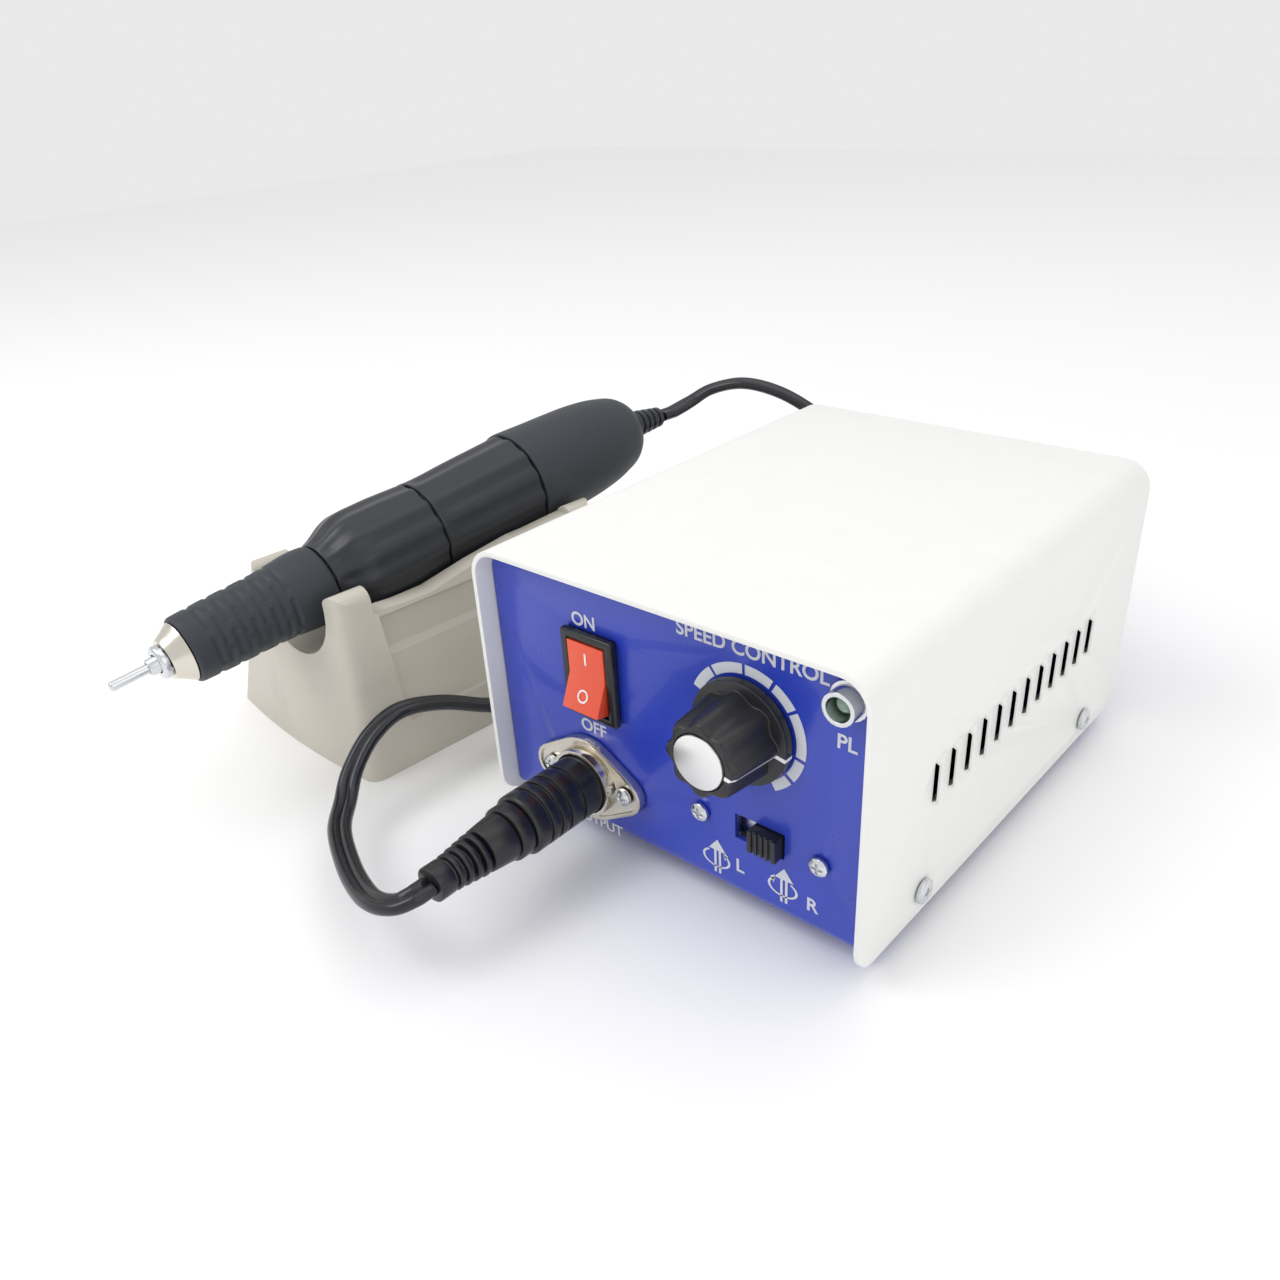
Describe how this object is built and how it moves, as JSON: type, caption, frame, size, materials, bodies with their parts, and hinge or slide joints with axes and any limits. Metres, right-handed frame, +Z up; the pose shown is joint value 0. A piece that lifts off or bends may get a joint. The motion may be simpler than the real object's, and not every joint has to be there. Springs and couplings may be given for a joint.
{
  "type": "dental micromotor",
  "caption": "Dental micromotor: bench control box with speed knob and switches, electric handpiece lying in a moulded stand, joined by a flat cord with a round plug.",
  "frame": {"origin": "middle of the footprint of the box, stand and handpiece, on the table", "axes": "+Z up, +Y towards the box's rear wall, +X to the right seen from its front"},
  "size_m": [0.2094, 0.2874, 0.073],
  "materials": {
    "white_powder_coat": "fine texture powder coat",
    "blue_enamel": "semi-gloss",
    "black_plastic": "satin",
    "soft_grip_rubber": "matte",
    "satin_black_coat": "satin",
    "red_plastic": "gloss",
    "nickel_plate": "polished",
    "bright_steel": "bright",
    "spun_aluminium": "spun",
    "brass": "machined",
    "copper": "enamelled copper wire",
    "beige_plastic": "moulded",
    "cord_sheath": "smooth",
    "foot_rubber": "matte",
    "green_lens": "clear",
    "laminated_iron": "raw",
    "circuit_board": "satin",
    "tie_strap": "matte"
  },
  "bodies": {
    "control_box": {"cover": "white_powder_coat", "chassis": "blue_enamel", "rocker_housing": "black_plastic", "socket_insert": "black_plastic", "plug_shell": "black_plastic", "plug_ring": "black_plastic", "plug_boot": "black_plastic", "mains_gland": "black_plastic", "fuse_holder": "black_plastic", "foot_switch_jack": "black_plastic", "socket_flange": "nickel_plate", "potentiometer_nut": "nickel_plate", "cover_screw_front_left": "bright_steel", "cover_screw_front_right": "bright_steel", "cover_screw_rear_left": "bright_steel", "cover_screw_rear_right": "bright_steel", "socket_screw_left": "bright_steel", "socket_screw_right": "bright_steel", "slide_switch_screw_left": "bright_steel", "slide_switch_screw_right": "bright_steel", "potentiometer": "bright_steel", "lamp_bezel": "bright_steel", "slide_switch_body": "bright_steel", "transformer_winding": "copper", "handpiece_stand": "beige_plastic", "cord_coil": "cord_sheath", "cord_front": "cord_sheath", "cord_rear": "cord_sheath", "foot_front_left": "foot_rubber", "foot_rear_left": "foot_rubber", "foot_front_right": "foot_rubber", "foot_rear_right": "foot_rubber", "lamp_lens": "green_lens", "transformer_core": "laminated_iron", "control_board": "circuit_board", "cord_tie": "tie_strap"},
    "speed_knob": {"speed_knob": "black_plastic", "knob_cap": "spun_aluminium", "speed_shaft": "bright_steel"},
    "rocker": {"rocker": "red_plastic"},
    "slide_button": {"slide_button": "black_plastic"},
    "handpiece": {"guard_ring": "bright_steel", "nose_cone": "nickel_plate", "grip_sleeve": "soft_grip_rubber", "rear_sleeve": "satin_black_coat", "tail_cap": "soft_grip_rubber", "strain_relief": "satin_black_coat", "spindle_cartridge": "spun_aluminium", "motor_housing": "bright_steel", "motor_front_plate": "brass", "motor_rear_plate": "brass", "magnet_ring": "laminated_iron"},
    "lock_sleeve": {"lock_sleeve": "satin_black_coat"},
    "spindle": {"tool_pin": "bright_steel", "collet": "bright_steel", "spindle": "bright_steel", "coupling": "brass", "motor_shaft": "bright_steel", "armature": "copper"}
  },
  "joints": [
    {"name": "speed_turn", "type": "hinge", "parent": "control_box", "child": "speed_knob", "pos_m": [0.07313, -0.03235, 0.0486], "axis": [0, -1, 0], "range_deg": [-55, 195]},
    {"name": "power_rock", "type": "hinge", "parent": "control_box", "child": "rocker", "pos_m": [0.03253, -0.03305, 0.0467], "axis": [1, 0, 0], "range_deg": [0, 23]},
    {"name": "direction_slide", "type": "slide", "parent": "control_box", "child": "slide_button", "axis": [-1, 0, 0], "range_m": [0, 0.0046]},
    {"name": "handpiece_lift", "type": "slide", "parent": "control_box", "child": "handpiece", "axis": [0, 0, 1], "range_m": [0, 0.06]},
    {"name": "lock_turn", "type": "hinge", "parent": "handpiece", "child": "lock_sleeve", "pos_m": [-0.05777, -0.09845, 0.0436], "axis": [0.0659, 0.9922, 0.1063], "range_deg": [0, 60]},
    {"name": "spindle_spin", "type": "hinge", "parent": "handpiece", "child": "spindle", "pos_m": [-0.05777, -0.09845, 0.0436], "axis": [0.0659, 0.9922, 0.1063], "continuous": true}
  ]
}
